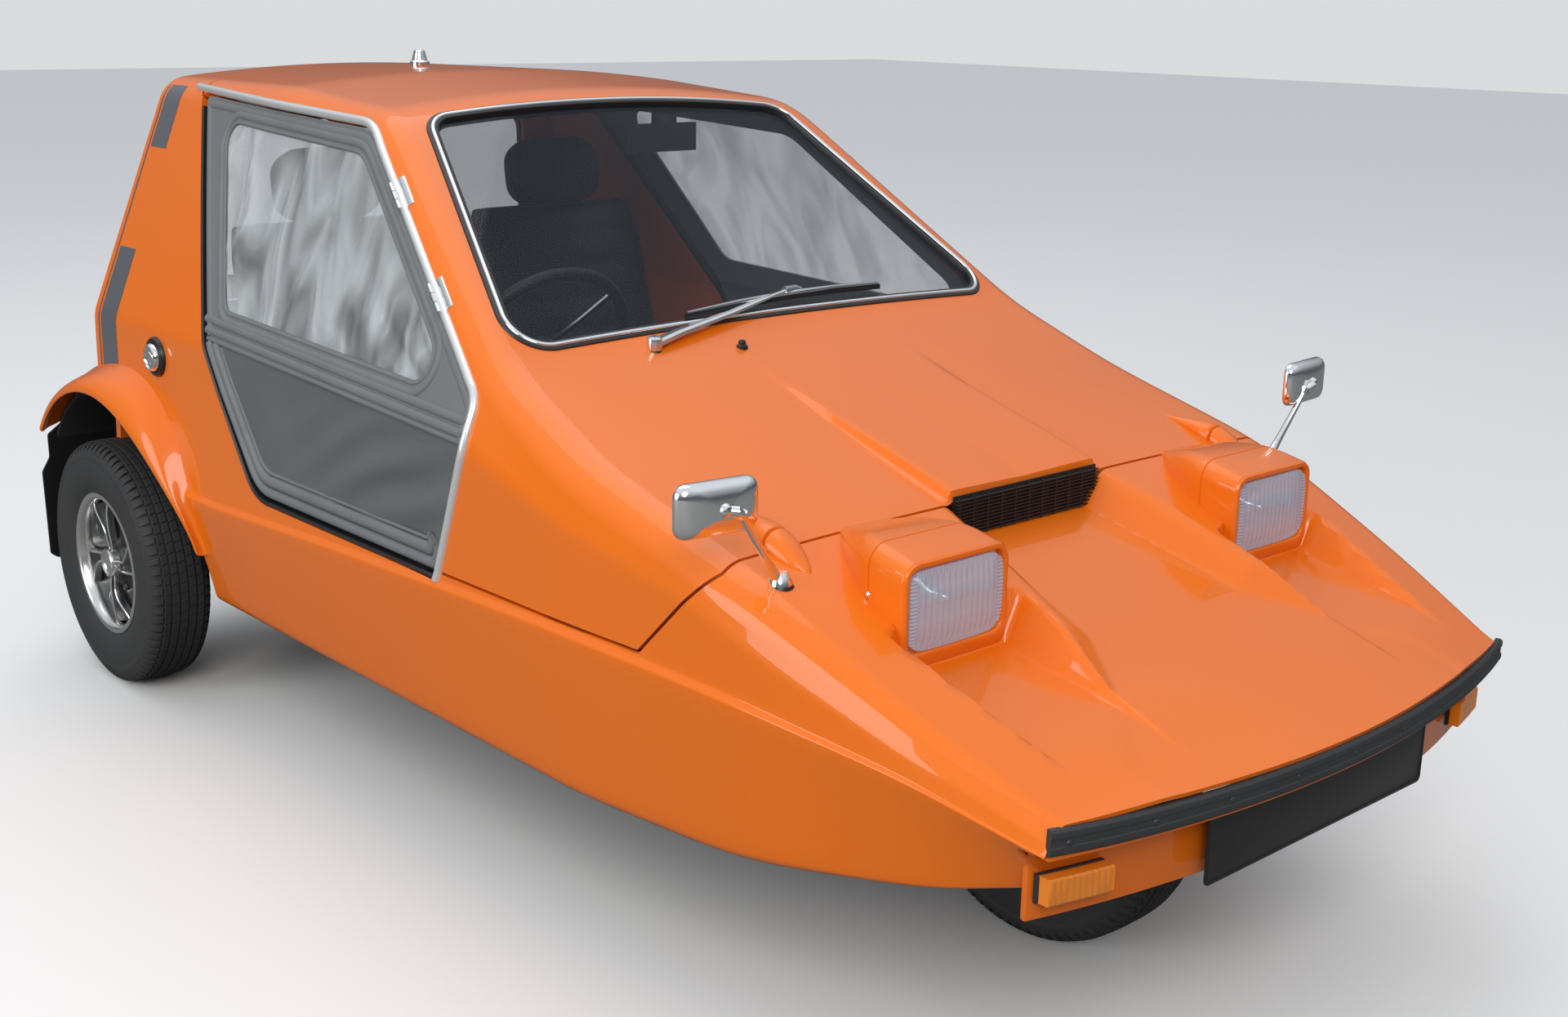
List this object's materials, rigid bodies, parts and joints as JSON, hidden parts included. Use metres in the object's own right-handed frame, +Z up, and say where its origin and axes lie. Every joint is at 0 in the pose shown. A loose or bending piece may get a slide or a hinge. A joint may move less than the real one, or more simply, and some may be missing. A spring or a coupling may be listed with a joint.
{
  "type": "three wheeled car",
  "caption": "Low wedge-shaped two-seat car on three wheels, with a front-hinged canopy, soft side screens, a drop-down luggage flap and steering.",
  "frame": {"origin": "on the ground under the middle of the car", "axes": "+Z up, -Y towards the nose, +X to the car's left-hand side"},
  "size_m": [1.454, 2.7939, 1.2839],
  "materials": {
    "paint": "glossy orange moulded body",
    "lining": "dark inner moulding",
    "glass": "clear flat glass",
    "steel": "black painted steel",
    "rubber": "black rubber",
    "plate": "blank black plate",
    "amber_lens": "amber moulded lens",
    "red_lens": "red moulded lens",
    "lamp_glass": "fluted lamp glass",
    "black_plastic": "black moulded plastic",
    "chrome": "bright chrome",
    "vinyl": "grey grained vinyl with sewn pleats",
    "clear_film": "clear flexible window film",
    "tyre": "black tyre rubber",
    "alloy": "polished spokes on black centres",
    "seat_vinyl": "black stitched vinyl"
  },
  "bodies": {
    "body": {"chassis_frame": "steel", "dash_and_column": "black_plastic", "engine_block": "steel", "engine_cover": "lining", "flap_hinges": "steel", "floor_pan": "lining", "front_bumper": "rubber", "front_plate": "plate", "fuel_cap": "chrome", "headlamps": "lamp_glass", "indicators": "amber_lens", "mirrors": "chrome", "mudflaps": "rubber", "nose_body": "paint", "rear_axle": "steel", "rear_bumper": "rubber", "rear_window": "glass", "seats": "seat_vinyl", "silencer": "steel", "slot_grille": "black_plastic", "tail_body": "paint", "tail_lamps": "red_lens", "tub_sides": "paint"},
    "canopy": {"canopy_shell": "paint", "windscreen_seal": "rubber", "windscreen": "glass", "screen_trims": "chrome", "screen_hinges": "black_plastic", "roof_knob": "chrome", "wiper": "chrome", "cabin_mirror": "black_plastic"},
    "screen_left": {"screen_frame_left": "vinyl", "screen_window_left": "clear_film"},
    "screen_right": {"screen_frame_right": "vinyl", "screen_window_right": "clear_film"},
    "flap": {"luggage_flap": "paint", "rear_plate": "plate"},
    "fork": {"front_fork": "steel"},
    "front_wheel": {"tyre_front": "tyre", "rim_front": "alloy"},
    "rear_wheel_left": {"tyre_rear_left": "tyre", "rim_rear_left": "alloy"},
    "rear_wheel_right": {"tyre_rear_right": "tyre", "rim_rear_right": "alloy"},
    "hand_wheel": {"steering_wheel": "black_plastic"}
  },
  "joints": [
    {"name": "canopy_lift", "type": "hinge", "parent": "body", "child": "canopy", "pos_m": [0, -0.801, 0.712], "axis": [1, 0, 0], "range_deg": [0, 55]},
    {"name": "screen_right_swing", "type": "hinge", "parent": "canopy", "child": "screen_right", "pos_m": [-0.5483, 0.0225, 1.0148], "axis": [0.2062, 0.7914, 0.5755], "range_deg": [0, 70]},
    {"name": "screen_left_swing", "type": "hinge", "parent": "canopy", "child": "screen_left", "pos_m": [0.5483, 0.0225, 1.0148], "axis": [0.2062, -0.7914, -0.5755], "range_deg": [0, 70]},
    {"name": "flap_drop", "type": "hinge", "parent": "body", "child": "flap", "pos_m": [0, 1.125, 0.466], "axis": [-1, 0, 0], "range_deg": [0, 90]},
    {"name": "steer", "type": "hinge", "parent": "body", "child": "fork", "pos_m": [0, -0.883, 0.254], "axis": [0, 0, 1], "range_deg": [-33, 33]},
    {"name": "hand_wheel_turn", "type": "hinge", "parent": "body", "child": "hand_wheel", "pos_m": [-0.3, 0.043, 0.8], "axis": [0, -0.8829, -0.4695], "range_deg": [-270, 270]},
    {"name": "front_wheel_spin", "type": "hinge", "parent": "fork", "child": "front_wheel", "pos_m": [0, -0.883, 0.254], "axis": [1, 0, 0], "continuous": true},
    {"name": "rear_left_spin", "type": "hinge", "parent": "body", "child": "rear_wheel_left", "pos_m": [0.62, 1.073, 0.254], "axis": [1, 0, 0], "continuous": true},
    {"name": "rear_right_spin", "type": "hinge", "parent": "body", "child": "rear_wheel_right", "pos_m": [-0.62, 1.073, 0.254], "axis": [1, 0, 0], "continuous": true}
  ],
  "couplings": [
    {"joint": "hand_wheel_turn", "follows": "steer", "ratio": 8}
  ]
}
